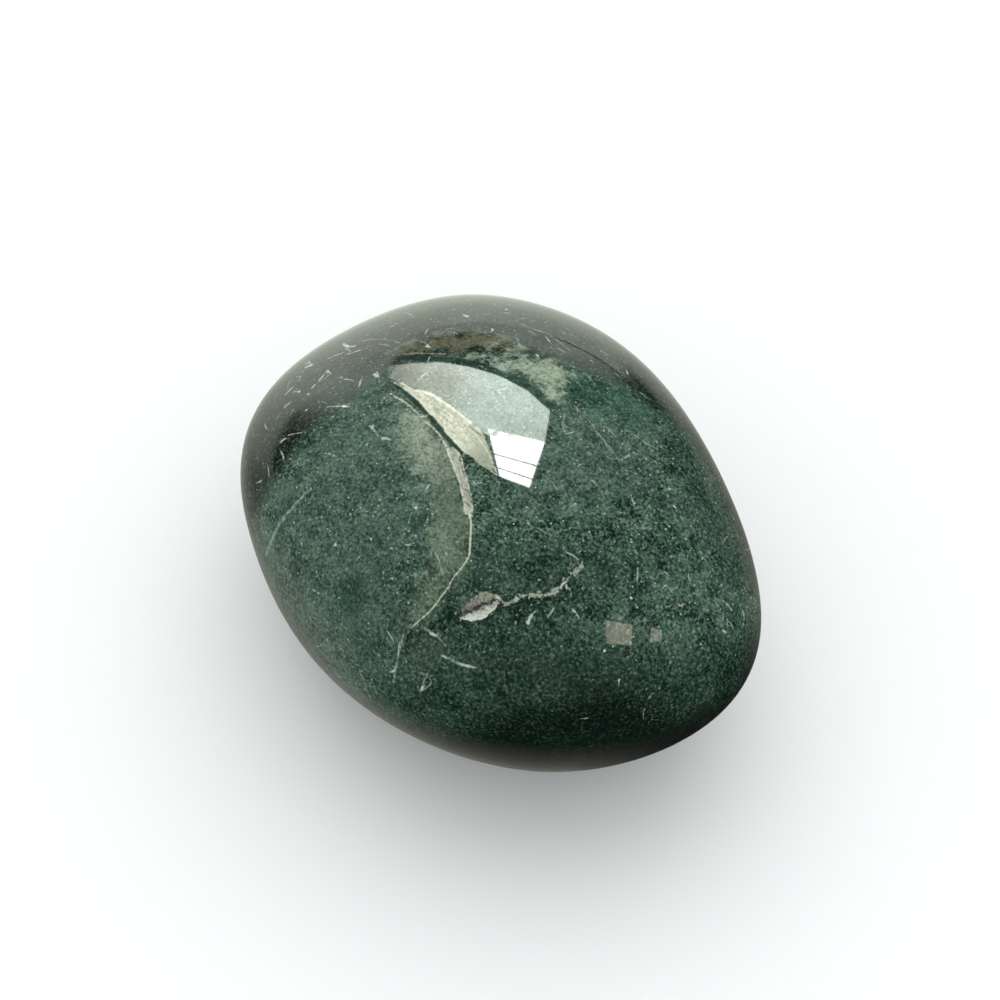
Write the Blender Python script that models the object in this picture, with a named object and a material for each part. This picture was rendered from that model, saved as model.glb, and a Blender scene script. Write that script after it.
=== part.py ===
"""A tumbled pebble of moss agate: one solid stone with softly worn faces.

The stone lies as it rests, its long side along X, its broad side along Y and its thin side
upright. It starts as a ball whose points are moved out to an egg-like form with worn, nearly
flat faces. It is then cut flat underneath, where it rests, and a small open pit is taken out
of the upper side. The middle of its box stands over the origin, and its foot is at Z = 0.
"""

import math

import bmesh
import bpy
from mathutils import Matrix, Vector

# Lengths below are in millimetres, and angles are in degrees
MM = 0.001

# Half of the pebble's length, breadth and thickness before its faces are worn
HALF_SIZES = (22.2, 16.2, 11.9)

# The worn faces: azimuth and elevation of the way each one looks, and how far from the
# pebble's middle it lies
WORN_FACES = (
    (-90, 65, 14.3),
    (135, 60, 14.0),
    (-170, 55, 13.0),
    (165, 20, 18.3),
    (65, 0, 15.5),
    (-35, -20, 18.3),
    (-75, -25, 15.7),
    (-110, -5, 15.3),
    (-140, -10, 17.6),
    (115, -25, 16.0),
    (15, -25, 21.0),
)

# How crisply one face turns into the next: 2 is as soft as a ball, 30 would leave hard edges
CRISPNESS = 8

# What the flat spot underneath takes off the pebble's lowest point
FLAT_DEPTH = 0.4

# The open pit: where it lies as seen from the pebble's middle, the way its long side runs,
# and its length, width and depth
PIT_AZIMUTH = -46.6
PIT_ELEVATION = 35.9
PIT_HEADING = 58.9
PIT_SIZE = (2.9, 1.35, 0.35)

# How far the pit's ends are drawn to a point: 0 leaves them round
PIT_POINTEDNESS = 0.4

# Fineness of the two balls that the stone and the pit start from
STONE_SUBDIVISIONS = 5
PIT_SUBDIVISIONS = 3

# Polished green stone
STONE_COLOUR = (0.048, 0.090, 0.065, 1.0)
STONE_ROUGHNESS = 0.12
STONE_METALLIC = 0.0


def direction(azimuth, elevation):
    """The unit vector that looks along an azimuth and an elevation."""
    azimuth = math.radians(azimuth)
    elevation = math.radians(elevation)
    across = math.cos(elevation)
    return Vector((across * math.cos(azimuth), across * math.sin(azimuth), math.sin(elevation)))


FACE_NORMALS = [(direction(azimuth, elevation), reach) for azimuth, elevation, reach in WORN_FACES]


def surface_point(way):
    """The point of the worn pebble in a direction from its middle."""
    way = way.normalized()
    egg = math.sqrt(sum((part / half) ** 2 for part, half in zip(way, HALF_SIZES)))
    nearness = egg ** CRISPNESS
    for normal, reach in FACE_NORMALS:
        nearness += max(0.0, way.dot(normal) / reach) ** CRISPNESS
    return way * (MM / nearness ** (1.0 / CRISPNESS))


def surface_normal(way):
    """The outward normal of the worn pebble there, from two short steps to either side."""
    step = 0.01
    aside = way.orthogonal().normalized()
    upward = way.cross(aside)
    across = surface_point(way + aside * step) - surface_point(way - aside * step)
    along = surface_point(way + upward * step) - surface_point(way - upward * step)
    return across.cross(along).normalized()


def new_ball(name, subdivisions):
    """A ball of radius 1 with nearly equal triangles, as a bmesh and the object it belongs to."""
    mesh = bpy.data.meshes.new(name)
    ball = bpy.data.objects.new(name, mesh)
    bpy.context.scene.collection.objects.link(ball)
    shape = bmesh.new()
    bmesh.ops.create_icosphere(shape, subdivisions=subdivisions, radius=1.0)
    return ball, shape


def cut_foot(shape):
    """Cuts the pebble flat underneath and closes the cut with one face, its rim left crisp."""
    lowest = min(vert.co.z for vert in shape.verts)
    geometry = shape.verts[:] + shape.edges[:] + shape.faces[:]
    bmesh.ops.bisect_plane(
        shape,
        geom=geometry,
        dist=0.01 * MM,
        plane_co=(0.0, 0.0, lowest + FLAT_DEPTH * MM),
        plane_no=(0.0, 0.0, -1.0),
        clear_outer=True,
    )
    rim = [edge for edge in shape.edges if edge.is_boundary]
    bmesh.ops.contextual_create(shape, geom=rim)
    bmesh.ops.recalc_face_normals(shape, faces=shape.faces[:])
    for face in shape.faces:
        face.smooth = True
    for edge in rim:
        edge.smooth = False


def resting_offset(shape):
    """The move that brings the middle of the box over the origin and its foot to Z = 0."""
    lows = [min(vert.co[axis] for vert in shape.verts) for axis in range(3)]
    highs = [max(vert.co[axis] for vert in shape.verts) for axis in range(3)]
    return Vector((-(lows[0] + highs[0]) / 2, -(lows[1] + highs[1]) / 2, -lows[2]))


def make_stone():
    """The worn pebble with its flat foot, and the offset that it was moved by."""
    stone, shape = new_ball("stone", STONE_SUBDIVISIONS)
    for vert in shape.verts:
        vert.co = surface_point(vert.co)
    cut_foot(shape)
    offset = resting_offset(shape)
    bmesh.ops.translate(shape, verts=shape.verts[:], vec=offset)
    shape.to_mesh(stone.data)
    shape.free()
    return stone, offset


def make_pit_cutter(offset):
    """A leaf-shaped ball, half sunk in the stone: what it takes out is the open pit."""
    cutter, shape = new_ball("pit_cutter", PIT_SUBDIVISIONS)
    for vert in shape.verts:
        pinch = max(0.0, 1.0 - vert.co.x ** 2) ** PIT_POINTEDNESS
        vert.co.y *= pinch
        vert.co.z *= pinch
    length, width, depth = PIT_SIZE
    size = Vector((length / 2, width / 2, depth)) * MM
    bmesh.ops.scale(shape, verts=shape.verts[:], vec=size)
    bmesh.ops.remove_doubles(shape, verts=shape.verts[:], dist=0.002 * MM)

    way = direction(PIT_AZIMUTH, PIT_ELEVATION)
    normal = surface_normal(way)
    across = normal.cross(direction(PIT_HEADING, 0.0)).normalized()
    along = across.cross(normal)
    turn = Matrix((along, across, normal)).transposed().to_4x4()
    place = Matrix.Translation(surface_point(way) + offset)
    bmesh.ops.transform(shape, verts=shape.verts[:], matrix=place @ turn)
    shape.to_mesh(cutter.data)
    shape.free()
    cutter.hide_render = True
    cutter.display_type = "WIRE"
    return cutter


def cut_pit(stone, cutter):
    """Takes the pit out of the stone with a live Boolean."""
    cut = stone.modifiers.new("pit", "BOOLEAN")
    cut.operation = "DIFFERENCE"
    cut.solver = "EXACT"
    cut.object = cutter


def polished_stone():
    """Dark green stone, tumbled to a wet-looking polish."""
    material = bpy.data.materials.new("polished moss agate")
    material.use_nodes = True
    shader = material.node_tree.nodes["Principled BSDF"]
    shader.inputs["Base Color"].default_value = STONE_COLOUR
    shader.inputs["Roughness"].default_value = STONE_ROUGHNESS
    shader.inputs["Metallic"].default_value = STONE_METALLIC
    material.diffuse_color = STONE_COLOUR
    return material


def build():
    for leftover in list(bpy.data.objects):
        bpy.data.objects.remove(leftover)
    stone, offset = make_stone()
    cut_pit(stone, make_pit_cutter(offset))
    stone.data.materials.append(polished_stone())


build()
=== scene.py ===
"""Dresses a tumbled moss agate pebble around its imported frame: form, markings, polish and stage.

Lengths are in millimetres until they reach a mesh. A place that was read off the photograph is
in the photograph's own pixels, 1000 by 1000, and is cast from the photograph's camera on to the
stone, so that it lies on the stone seen from any side.
"""

import math
import random

import bpy
import numpy as np
from mathutils import Matrix, Vector
from mathutils.bvhtree import BVHTree
from mathutils.interpolate import poly_3d_calc


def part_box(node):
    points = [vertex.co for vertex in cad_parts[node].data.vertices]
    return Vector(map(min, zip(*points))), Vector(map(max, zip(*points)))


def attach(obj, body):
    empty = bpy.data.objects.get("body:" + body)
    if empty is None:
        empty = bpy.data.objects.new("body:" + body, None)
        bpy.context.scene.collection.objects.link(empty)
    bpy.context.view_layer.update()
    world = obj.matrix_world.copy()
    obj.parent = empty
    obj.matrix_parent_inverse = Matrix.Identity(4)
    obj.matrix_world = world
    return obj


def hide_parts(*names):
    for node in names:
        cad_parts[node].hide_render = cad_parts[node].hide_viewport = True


bl_info = {
    "name": "Moss agate tumbled stone",
    "version": (1, 0, 0),
    "blender": (4, 5, 0),
    "location": "3D View > Sidebar > Tumbled stone",
    "description": "Adds a polished moss agate pebble and a small studio around it",
    "category": "Add Mesh",
}

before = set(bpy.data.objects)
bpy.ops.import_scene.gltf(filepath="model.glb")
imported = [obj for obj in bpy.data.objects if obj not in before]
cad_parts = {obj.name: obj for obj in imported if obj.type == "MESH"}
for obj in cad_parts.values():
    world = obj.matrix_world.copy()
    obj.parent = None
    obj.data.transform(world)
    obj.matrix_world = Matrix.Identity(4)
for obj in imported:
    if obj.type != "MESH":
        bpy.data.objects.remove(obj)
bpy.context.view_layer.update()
STONE_LOW, STONE_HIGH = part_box("stone")
STONE_MIDDLE = (STONE_LOW + STONE_HIGH) / 2
STONE_SIZE = STONE_HIGH - STONE_LOW

MM = 0.001

# The photograph's camera: which way it looks, how far off it stands, what it is aimed at, and
# its focal length in the photograph's pixels
PHOTO_PIXELS = 1000
PHOTO_AZIMUTH = math.radians(45)
PHOTO_ELEVATION = math.radians(55)
CAMERA_DISTANCE = 300 * MM
CAMERA_AIM = Vector((-1.32, 1.475, 12.57)) * MM
FOCAL_PIXELS = 4650
SENSOR_WIDTH = 36.0
BACK = Vector((
    math.sin(PHOTO_AZIMUTH) * math.cos(PHOTO_ELEVATION),
    -math.cos(PHOTO_AZIMUTH) * math.cos(PHOTO_ELEVATION),
    math.sin(PHOTO_ELEVATION),
))
RIGHT = Vector((math.cos(PHOTO_AZIMUTH), math.sin(PHOTO_AZIMUTH), 0.0))
UP = BACK.cross(RIGHT)
CAMERA_PLACE = CAMERA_AIM + BACK * CAMERA_DISTANCE
PIXEL = CAMERA_DISTANCE / FOCAL_PIXELS

# The border of the green grain: outside it the rim is clear, dark chalcedony
GRAIN_BORDER = (
    (230, 560), (252, 520), (269, 491), (289, 456), (308, 432), (330, 411), (355, 396), (377, 376),
    (420, 353), (460, 352), (500, 355), (540, 360), (566, 365), (593, 372), (631, 389), (650, 405),
    (665, 415), (683, 431), (700, 453), (716, 479), (738, 530), (752, 575), (766, 620),
)

# A cleft inside the stone: a cream wing that opens beside a dark gap, and runs out downward in
# a beige sliver and a cream line. The wing's bright cream is partly real and partly the window's
# light as the polish mirrors it, painted on as a reflection
WING = (
    (390, 378), (400, 382), (412, 389), (430, 393), (450, 405), (465, 418), (480, 430), (489, 448),
    (499, 478), (487, 470), (475, 460), (463, 452), (455, 443), (445, 431), (435, 419), (424, 408),
    (416, 398), (404, 388),
)
WING_AXIS = ((395, 384), (417, 398), (445, 418), (475, 445), (495, 470))
GAP = (
    (389, 378, 2.5), (397, 386, 4), (407, 394, 5), (418, 405, 5), (427, 414, 4), (436, 425, 4.5),
    (446, 437, 4.5), (455, 446, 4), (463, 453, 2),
)
SLIVER = (
    (443, 441), (449, 455), (455, 470), (460, 484), (463, 500), (466, 514), (470, 514), (473, 507),
    (471, 497), (467, 483), (463, 468), (459, 454), (451, 447),
)
SLIVER_AXIS = ((447, 444), (458, 472), (465, 495), (469, 514))
CREAM_THREAD = (
    (
        (469, 512, 2.0), (471, 525, 1.8), (470, 545, 1.7), (468.5, 557, 1.7), (460, 570, 1.5),
        (453, 578, 1.4), (448, 588, 1.4), (441, 597, 1.3), (432, 609, 1.3), (420, 620, 1.1),
        (411, 628, 0.8),
    ),
)
VEINS = (
    (
        (499.5, 601, 2.4), (504, 603.5, 2.2), (509, 603, 2.0), (514, 600, 2.6), (522, 596, 3.4),
        (533, 594.5, 2.6), (545, 595, 1.8), (552, 593.5, 1.6), (560, 592, 1.0),
    ),
    (
        (549, 591, 1.0), (560, 587, 1.4), (566, 580, 1.5), (572, 574, 2.0), (579, 569, 3.6),
        (582, 563, 1.4),
    ),
)
# The window's dark frame above the mirrored pane and its runout, painted on as a reflection
MIRRORED_FRAME = (
    (390, 359, 4), (400, 358, 7), (420, 358, 8), (445, 359.5, 8), (468, 362, 8), (482, 365, 7),
)
MIRRORED_FRAME_RUNOUT = (
    (472, 363, 6), (490, 369, 8), (508, 376, 9), (524, 385, 10), (538, 395, 11), (549, 406, 8),
)
STRIP_EDGE = (((392, 355, 1.2), (410, 353.5, 2.0), (430, 353.5, 2.2), (446, 354, 1.2)),)
PALE_EDGES = (
    (
        (391, 381, 1.0), (404, 388, 2.0), (418, 399, 2.2), (430, 411, 1.6), (444, 428, 1.4),
        (456, 442, 1.0),
    ),
    (
        (414, 390, 0.6), (436, 401, 0.9), (455, 415, 1.0), (472, 431, 0.9), (486, 449, 1.3),
        (497, 473, 1.2),
    ),
    (
        (443, 440, 0.8), (449, 455, 1.3), (455, 470, 1.4), (460, 484, 1.4), (464, 504, 1.2),
        (467, 516, 0.8),
    ),
    (
        (452, 447, 0.6), (460, 455, 0.9), (464, 470, 1.0), (468, 484, 1.1), (473, 506, 1.2),
        (470, 516, 0.8),
    ),
    ((390, 393, 1.0), (397, 398, 1.5), (405, 402, 1.5), (412, 408, 1.4), (419, 415, 1.2)),
    ((424, 420, 1.2), (434, 429, 1.3), (441, 437, 1.5), (446, 446, 1.6), (450, 452, 1.2)),
)
OLIVE_LINES = (((462, 612, 1.4), (469, 602, 2.4), (478, 596, 4.0), (490, 594.5, 5.0), (501, 599, 4.6)),)
WHITE_LINES = (
    ((470, 357, 0.8), (490, 360, 1.0), (510, 366, 1.2), (530, 374, 1.4), (534, 380, 1.0)),
    ((478, 365, 0.8), (483, 367, 1.4), (488, 371, 1.0)),
    ((516, 337, 0.8), (519, 343, 1.0), (517, 351, 0.8)),
    ((404, 633, 1.0), (400, 648, 2.0), (397, 662, 2.4), (395, 673, 1.8), (393, 684, 1.0)),
    ((423, 627, 1.0), (431, 632, 2.2), (438, 637, 2.0), (446, 646, 1.0)),
    ((440, 655, 1.0), (450, 659, 2.2), (460, 664, 2.6), (475, 668, 1.0)),
    ((266, 555, 3.0), (272, 540, 4.4), (280, 523, 4.0), (294, 506, 3.2), (312, 487, 1.6)),
    ((470, 512, 0.7), (500, 515, 1.0), (526, 523, 1.0), (552, 536, 0.7)),
    ((420, 692, 0.7), (424, 681, 1.2), (429, 671, 0.8)),
    ((358, 667, 0.8), (363, 679, 1.1), (367, 691, 0.7)),
    ((362, 341, 0.7), (376, 339, 1.0), (390, 340, 1.0), (401, 343, 0.6)),
    ((524, 327, 0.6), (543, 332, 1.0), (558, 341, 1.0), (571, 351, 0.6)),
    ((592, 423, 0.6), (601, 436, 1.1), (610, 448, 1.2), (620, 462, 0.6)),
    ((623, 429, 0.6), (634, 435, 1.0), (646, 443, 1.0), (658, 450, 0.6)),
    ((565, 413, 0.6), (563, 422, 1.1), (564, 433, 0.6)),
    ((437, 555, 0.7), (440, 565, 1.3), (444, 578, 0.7)),
    ((420, 672, 0.6), (427, 676, 1.1), (432, 682, 1.2), (427, 687, 1.2), (421, 691, 0.6)),
    ((659, 604, 0.7), (667, 607, 1.2), (675, 604, 0.7)),
    ((724, 608, 0.7), (723, 618, 1.2), (720, 628, 0.8)),
)
# Dark cracks; the second line is a painted shadow under the first vein
DARK_LINES_AND_SHADOW = (
    ((467, 425, 1.2), (474, 430, 1.8), (482, 437, 1.2)),
    ((503, 608, 1.2), (520, 603, 1.6), (530, 599, 1.4), (545, 600, 1.4), (561, 596, 0.8)),
    ((641, 451, 0.8), (648, 455, 1.4), (656, 460, 1.4), (667, 465, 0.8)),
    ((526, 570, 0.8), (533, 563, 1.3), (541, 559, 0.8)),
    ((456, 484, 1.0), (463, 488, 1.6), (470, 493, 1.0)),
    ((460, 499, 0.9), (466, 503, 1.3), (472, 508, 0.9)),
    ((461, 625, 0.8), (475, 624, 1.3), (488, 619, 1.4), (500, 609, 1.2), (511, 605, 1.3)),
)

# Bright ticks: where each one starts and ends, and its width
TICKS = (
    (283, 407, 290, 402, 1.5), (427, 344, 429, 348, 3.4), (430, 356, 428, 361, 1.4),
    (461, 664, 473, 667, 3.0), (429, 633, 437, 636, 2.6), (391, 673, 396, 668, 2.6),
    (421, 691, 424, 685, 2.4), (400, 640, 398, 654, 1.5), (441, 655, 447, 658, 1.5),
    (452, 310, 456, 309, 1.6), (491, 332, 493, 329, 1.8), (425, 334, 428, 329, 1.6),
    (390, 327, 396, 325, 1.6), (407, 313, 415, 317, 1.3), (464, 315, 469, 317, 3.2),
    (502, 313, 511, 313, 1.4), (505, 309, 507, 310, 1.6), (522, 324, 526, 326, 1.3),
    (545, 336, 551, 343, 1.4), (536, 354, 539, 357, 2.4), (453, 332, 456, 334, 1.8),
    (626, 369, 628, 374, 1.6), (590, 360, 595, 362, 1.5), (626, 384, 628, 388, 1.8),
    (416, 417, 428, 416, 1.7), (431, 484, 425, 490, 1.5), (567, 552, 578, 559, 1.5),
    (577, 555, 582, 549, 1.3), (592, 480, 597, 485, 1.6), (631, 495, 635, 508, 1.2),
    (421, 376, 423, 381.5, 1.3), (417.5, 381, 428, 371, 1.7), (497, 390, 508, 388, 1.4),
    (498, 391, 505, 398, 1.4), (434, 551, 440, 562, 1.2), (294, 391, 296, 391, 1.6),
    (297, 463, 299, 464, 2.0), (414, 509, 417, 509, 2.2), (426, 508, 428, 508, 1.8),
    (431, 514, 433, 515, 2.0), (426, 524, 428, 524, 2.0), (390, 547, 393, 548, 2.0),
    (405, 545, 411, 545, 2.0), (392, 577, 394, 579, 1.8), (568, 588, 570, 590, 2.0),
    (571, 593, 573, 594, 1.8), (583, 586, 585, 587, 1.8), (538, 580, 540, 581, 1.6),
    (515, 621, 517, 622, 1.8), (578, 466, 580, 467, 2.2), (668, 488, 670, 490, 2.4),
    (674, 506, 676, 508, 2.2), (723, 631, 726, 633, 2.2), (707, 466, 709, 467, 2.0),
    (733, 518, 735, 520, 1.6), (660, 590, 668, 584, 1.4), (676, 604, 684, 607, 1.4),
    (688, 575, 690, 582, 1.2), (725, 602, 733, 612, 1.3), (730, 622, 734, 630, 1.3),
    (470, 484, 486, 482, 1.3), (465, 470, 468, 465, 1.3), (595, 431, 603, 440, 1.2),
    (605, 443, 611, 454, 1.2), (620, 461, 629, 455, 1.6), (632, 452, 640, 455, 1.4),
    (608, 428, 615, 436, 1.2), (577, 407, 578, 414, 1.4), (566, 434, 574, 432, 1.2),
    (429, 343, 436, 341, 1.2), (417, 340, 425, 343, 1.2), (446, 329, 455, 328, 1.1),
    (380, 344, 391, 346, 1.0), (361, 341, 373, 339, 1.1), (344, 336, 349, 333, 1.2),
    (301, 373, 305, 370, 1.3), (321, 401, 328, 404, 1.0), (330, 390, 336, 386, 1.0),
    (483, 315, 491, 313, 1.0), (516, 320, 524, 318, 1.1), (529, 331, 536, 335, 1.1),
    (557, 348, 566, 353, 1.1), (572, 343, 579, 347, 1.1), (603, 352, 611, 357, 1.1),
    (613, 372, 622, 378, 1.1), (640, 392, 646, 397, 1.1), (560, 330, 566, 334, 1.0),
    (586, 374, 592, 380, 1.2), (638, 568, 637, 580, 1.8), (629, 543, 630, 544, 2.0),
    (633, 548, 638, 555, 1.3), (723, 542, 728, 536, 1.3), (742, 608, 744, 617, 1.3),
    (572, 608, 579, 617, 1.4), (630, 597, 632, 599, 2.0), (635, 602, 637, 607, 1.6),
    (681, 606, 684, 603, 1.6), (688, 595, 691, 595, 2.0), (604, 650, 605, 651, 2.4),
    (618, 682, 621, 678, 2.0), (648, 699, 652, 694, 1.4), (643, 717, 644, 710, 1.2),
    (581, 719, 588, 718, 1.2), (706, 589, 707, 591, 1.8), (335, 543, 337, 544, 2.6),
    (370, 539, 371, 540, 1.8), (359, 556, 360, 557, 2.0), (366, 572, 367, 573, 1.8),
    (312, 589, 315, 592, 1.8), (386, 629, 393, 640, 1.2), (340, 366, 345, 362, 1.0),
    (314, 372, 319, 368, 1.1), (302, 366, 308, 361, 1.4), (308, 361, 312, 365, 1.8),
    (305, 367.5, 312, 365, 2.2), (306, 362, 307, 366, 1.1), (310, 390, 318, 382, 2.0),
    (317, 383, 327, 371, 1.8), (327, 370, 331, 374, 2.2), (331, 374, 321, 381, 1.2),
    (285, 395, 294, 386, 2.2), (287, 390, 290, 380, 1.3), (296, 377, 301, 376, 1.3),
    (301, 376, 299, 380, 1.5), (298, 391, 300, 392, 2.2), (307, 394, 309, 394, 2.2),
    (343, 345, 353, 347, 3.2), (346, 350, 352, 347, 1.4), (329, 358, 345, 352, 2.0),
    (348, 354, 364, 349, 2.0), (352, 352, 346, 349, 1.1), (344, 379, 353, 380, 2.0),
    (340, 377, 343, 378, 1.6), (358.5, 388, 361.5, 379, 2.6), (373, 373, 379, 378, 3.2),
    (377, 372, 379, 379, 1.6), (328, 406.5, 350, 406.5, 1.5), (342, 406, 348, 406.5, 2.6),
    (305.5, 410, 306.5, 410, 2.8), (281, 441.5, 286.5, 438, 2.6), (286, 436, 304, 432, 1.6),
    (281, 451, 284, 459, 1.7), (268, 466, 269, 475, 1.3), (257, 483, 263, 480, 1.5),
    (284, 408, 292, 401.5, 1.4), (275, 420, 281, 414, 1.2), (290, 415, 294, 409, 1.2),
    (264.5, 424, 266.5, 429, 1.7), (370, 425, 376, 433, 2.6), (374, 427, 372, 424, 1.3),
    (381, 438, 389, 438.5, 2.3), (376, 434, 382, 438, 1.2), (326, 453, 333, 455, 1.3),
    (260, 406, 262.5, 403.5, 1.8), (527, 625, 530, 617, 2.6), (530, 618, 535, 611, 1.8),
    (549, 616, 554, 608, 1.7), (571, 608, 576, 613, 1.9), (460, 620.5, 461, 620.5, 2.6),
    (565, 586, 568, 590, 2.2), (496, 596, 500, 600, 2.0), (515, 597, 517, 599, 1.8),
    (514, 602, 519, 599, 1.6), (553, 590, 560, 587, 1.6), (560, 587, 566, 581, 1.8),
)

# Stained and cloudy patches, darker ones on the lower side that are partly painted shade, and a
# brown strip that is a painted reflection
HAZE = (
    (402, 412), (424, 418), (440, 436), (449, 455), (457, 487), (465, 520), (469, 540), (468, 558),
    (455, 576), (440, 598), (420, 619), (410, 626), (421, 598), (428, 570), (430, 540), (431, 500),
    (426, 476), (408, 452), (400, 430),
)
HAZE_BRIGHT = ((396, 402), (420, 412), (440, 434), (451, 456), (442, 474), (422, 466), (404, 440))
HAZE_SHADE = ((438, 450), (450, 458), (460, 495), (464, 532), (450, 536), (441, 510), (436, 478))
# A brown strip by the window as the polish mirrors it, painted on as a reflection
MIRRORED_BROWN_STRIP = (
    (391, 353), (402, 349), (414, 344), (430, 338), (455, 333), (480, 332), (500, 336), (514, 344),
    (512, 350), (496, 351), (470, 347), (452, 350), (430, 353), (410, 354),
)
PALE_PATCH = (
    (476, 356), (492, 351), (515, 352), (545, 360), (562, 368), (566, 382), (560, 392), (549, 396),
    (540, 386), (530, 376), (510, 368), (488, 361),
)
CREAM_PATCH = ((541, 372), (552, 368), (566, 374), (564, 388), (553, 396), (545, 386))
BLUE_PATCH = ((336, 580), (350, 574), (363, 578), (366, 600), (354, 614), (338, 612))
BLUE_PATCH_HEART = ((342, 592), (350, 589), (354, 597), (348, 606), (341, 601))
BROWN_LOW = ((404, 632), (425, 632), (446, 642), (444, 658), (420, 662), (405, 652))
TEAL_CLEARING = ((562, 372), (600, 376), (640, 396), (664, 418), (640, 428), (600, 412), (566, 400))
GREY_LEFT = (
    (230, 570), (262, 520), (300, 450), (345, 405), (400, 372), (410, 440), (405, 520), (400, 600),
    (370, 668), (320, 680), (260, 630),
)
# The clear foot and the low patches: darker stone, with painted shade laid on the lower side
CLEAR_FOOT_AND_SHADE = (
    (400, 735), (440, 748), (480, 748), (540, 752), (600, 750), (650, 738), (700, 714), (738, 684),
    (758, 640), (800, 640), (760, 800), (400, 800),
)
LOW_DARK_AND_SHADE = (
    (380, 700), (430, 662), (500, 648), (580, 662), (640, 668), (700, 650), (765, 620), (800, 700),
    (700, 800), (540, 810), (420, 780),
)
BOTTOM_BLACK_AND_SHADE = (
    (330, 722), (365, 714), (395, 734), (440, 738), (480, 722), (520, 708), (560, 700), (600, 688),
    (626, 688), (648, 706), (676, 724), (716, 712), (750, 690), (790, 640), (760, 740), (700, 790),
    (560, 800), (450, 790), (350, 760),
)
DEEP_MIDDLE = (
    (440, 592), (466, 562), (505, 552), (545, 545), (600, 548), (630, 566), (622, 590), (590, 604),
    (600, 636), (650, 650), (664, 676), (600, 686), (530, 676), (470, 656), (432, 628),
)
DIM_LEFT = (
    (350, 532), (396, 526), (414, 590), (404, 640), (412, 690), (370, 690), (346, 640),
    (352, 590),
)
GREY_RIGHT = (
    (556, 392), (584, 400), (622, 420), (650, 446), (652, 484), (610, 500), (560, 502), (516, 508),
    (500, 492), (540, 480), (552, 440),
)
RIGHT_SHADE = (
    (664, 436), (684, 440), (704, 468), (722, 505), (736, 545), (744, 590), (726, 586), (706, 540),
    (690, 500), (672, 462),
)

# The two ends of the open pit, which has a crumbly break inside
PIT_TIP = (459.5, 617.5)
PIT_END = (500.5, 599)

# The window as the stone mirrors it: a curtained pane, a bare one under it, and the room's wall.
# Each has the line of its upper edge and the line of its lower edge
PANE_TOP = ((388, 366), (410, 363.5), (440, 362), (470, 367), (500, 376), (528, 391), (550, 411))
PANE_FOOT = (
    (389, 379), (401, 383), (413, 390), (430, 395), (449, 406.5), (466, 420), (481, 432), (490, 436),
    (545, 442),
)
BARE_PANE = (((488, 428), (545, 441)), ((500, 477), (529, 488)))
ROOM_WALL_TOP = (
    (267, 464), (281, 442), (297, 421), (311, 399), (330, 379), (356, 358), (386, 340), (420, 328),
    (455, 322), (490, 322), (524, 328), (556, 338), (586, 352), (614, 370), (634, 384),
)
ROOM_WALL_FOOT = (
    (286, 486), (301, 464), (316, 446), (338, 424), (360, 408), (384, 387), (394, 368), (404, 353),
    (430, 341), (455, 336), (480, 335), (500, 339), (522, 352), (552, 366), (584, 384), (612, 402),
    (634, 416),
)
SMALL_CARDS = (
    (((605, 620), (632, 625)), ((607, 644), (632, 645))),
    (((651, 628), (662, 630)), ((650, 643), (662, 641))),
)

# The bare pane's ends and the bars between them, as shares of the way down it, and how much of it
# a bar covers
SLATS = (0.0, 0.53, 0.81, 1.0)
SLAT_GAP = 0.03

# How far from the stone the light cards stand, and which way the window lies
CARD_DISTANCE = 350 * MM
CARD_WAY = Vector((-0.72, 0.42, 0.56)).normalized()

# How a place, a noise or a way turns into a tone. Here and in the names that end in TONES, the
# first two numbers say from where to where the tone changes, and two more say from what to what,
# where that isn't from 0 to 1. The wall fades out at its ends and toward its foot, and the
# curtain has a dim end and an uneven cloth
WALL_LEFT_END = (0.07, 0.25)
WALL_RIGHT_END = (1.0, 0.86)
WALL_FOOT_FADE = (0.1, 0.35, 0.9, 0.4)
CURTAIN_DIM_END = (0.0, 0.55)
CURTAIN_TONES = (0.3, 0.7, 0.86, 1.14)

# How many uneven folds the curtain has along and down its pane, and how brightly its dim end, the
# bare pane and the small cards glow as shares of its own glow
CURTAIN_FOLDS = (34.0, 9.0, 0.0)
CURTAIN_DIM_GLOW = 0.2
BARE_PANE_GLOW = 2.4
SMALL_CARD_GLOW = 0.34

# Two corners far below the stone, which close the grain's border into an outline
GRAIN_CORNERS = ((900, 1200), (100, 1200))

# How many millimetres a patch loses round the stone's outline, from there to the far side, and
# the width in pixels from which on a tick is at its brightest
LOSS_BEHIND = 12.0
BRIGHT_TICK_WIDTH = 2.4

# How wide a ring round a mark still holds its numbers and how soft a mark's edge is, both in
# millimetres, how far apart a line's points are in the photograph's pixels, and the share of its
# bend that a bent tick is set back by, so that it stays about its middle
MARK_RING = 0.4
EDGE_SOFTNESS = 0.035
LINE_STEP = 4
BEND_MIDDLE = 0.3

# What a point holds where no tick or no line is near: a place outside of it, and no weight
NO_FLECK = (9, 9, 0)
NO_BAND = (9, -9, 0)

# What marks are drawn from, and between what numbers: how bright and how bent a tick is, and on
# the side that the photograph doesn't show also how many ticks there are, half their length and
# their width in millimetres, and how bright they are
SEED = 7
TICK_STRENGTHS = (0.55, 1.0)
TICK_BENDS = (-1.2, 1.2)
WILD_TICKS = 130
WILD_TICK_HALVES = (0.06, 0.45)
WILD_TICK_WIDTHS = (0.07, 0.15)
WILD_TICK_STRENGTHS = (0.35, 1.0)

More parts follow.
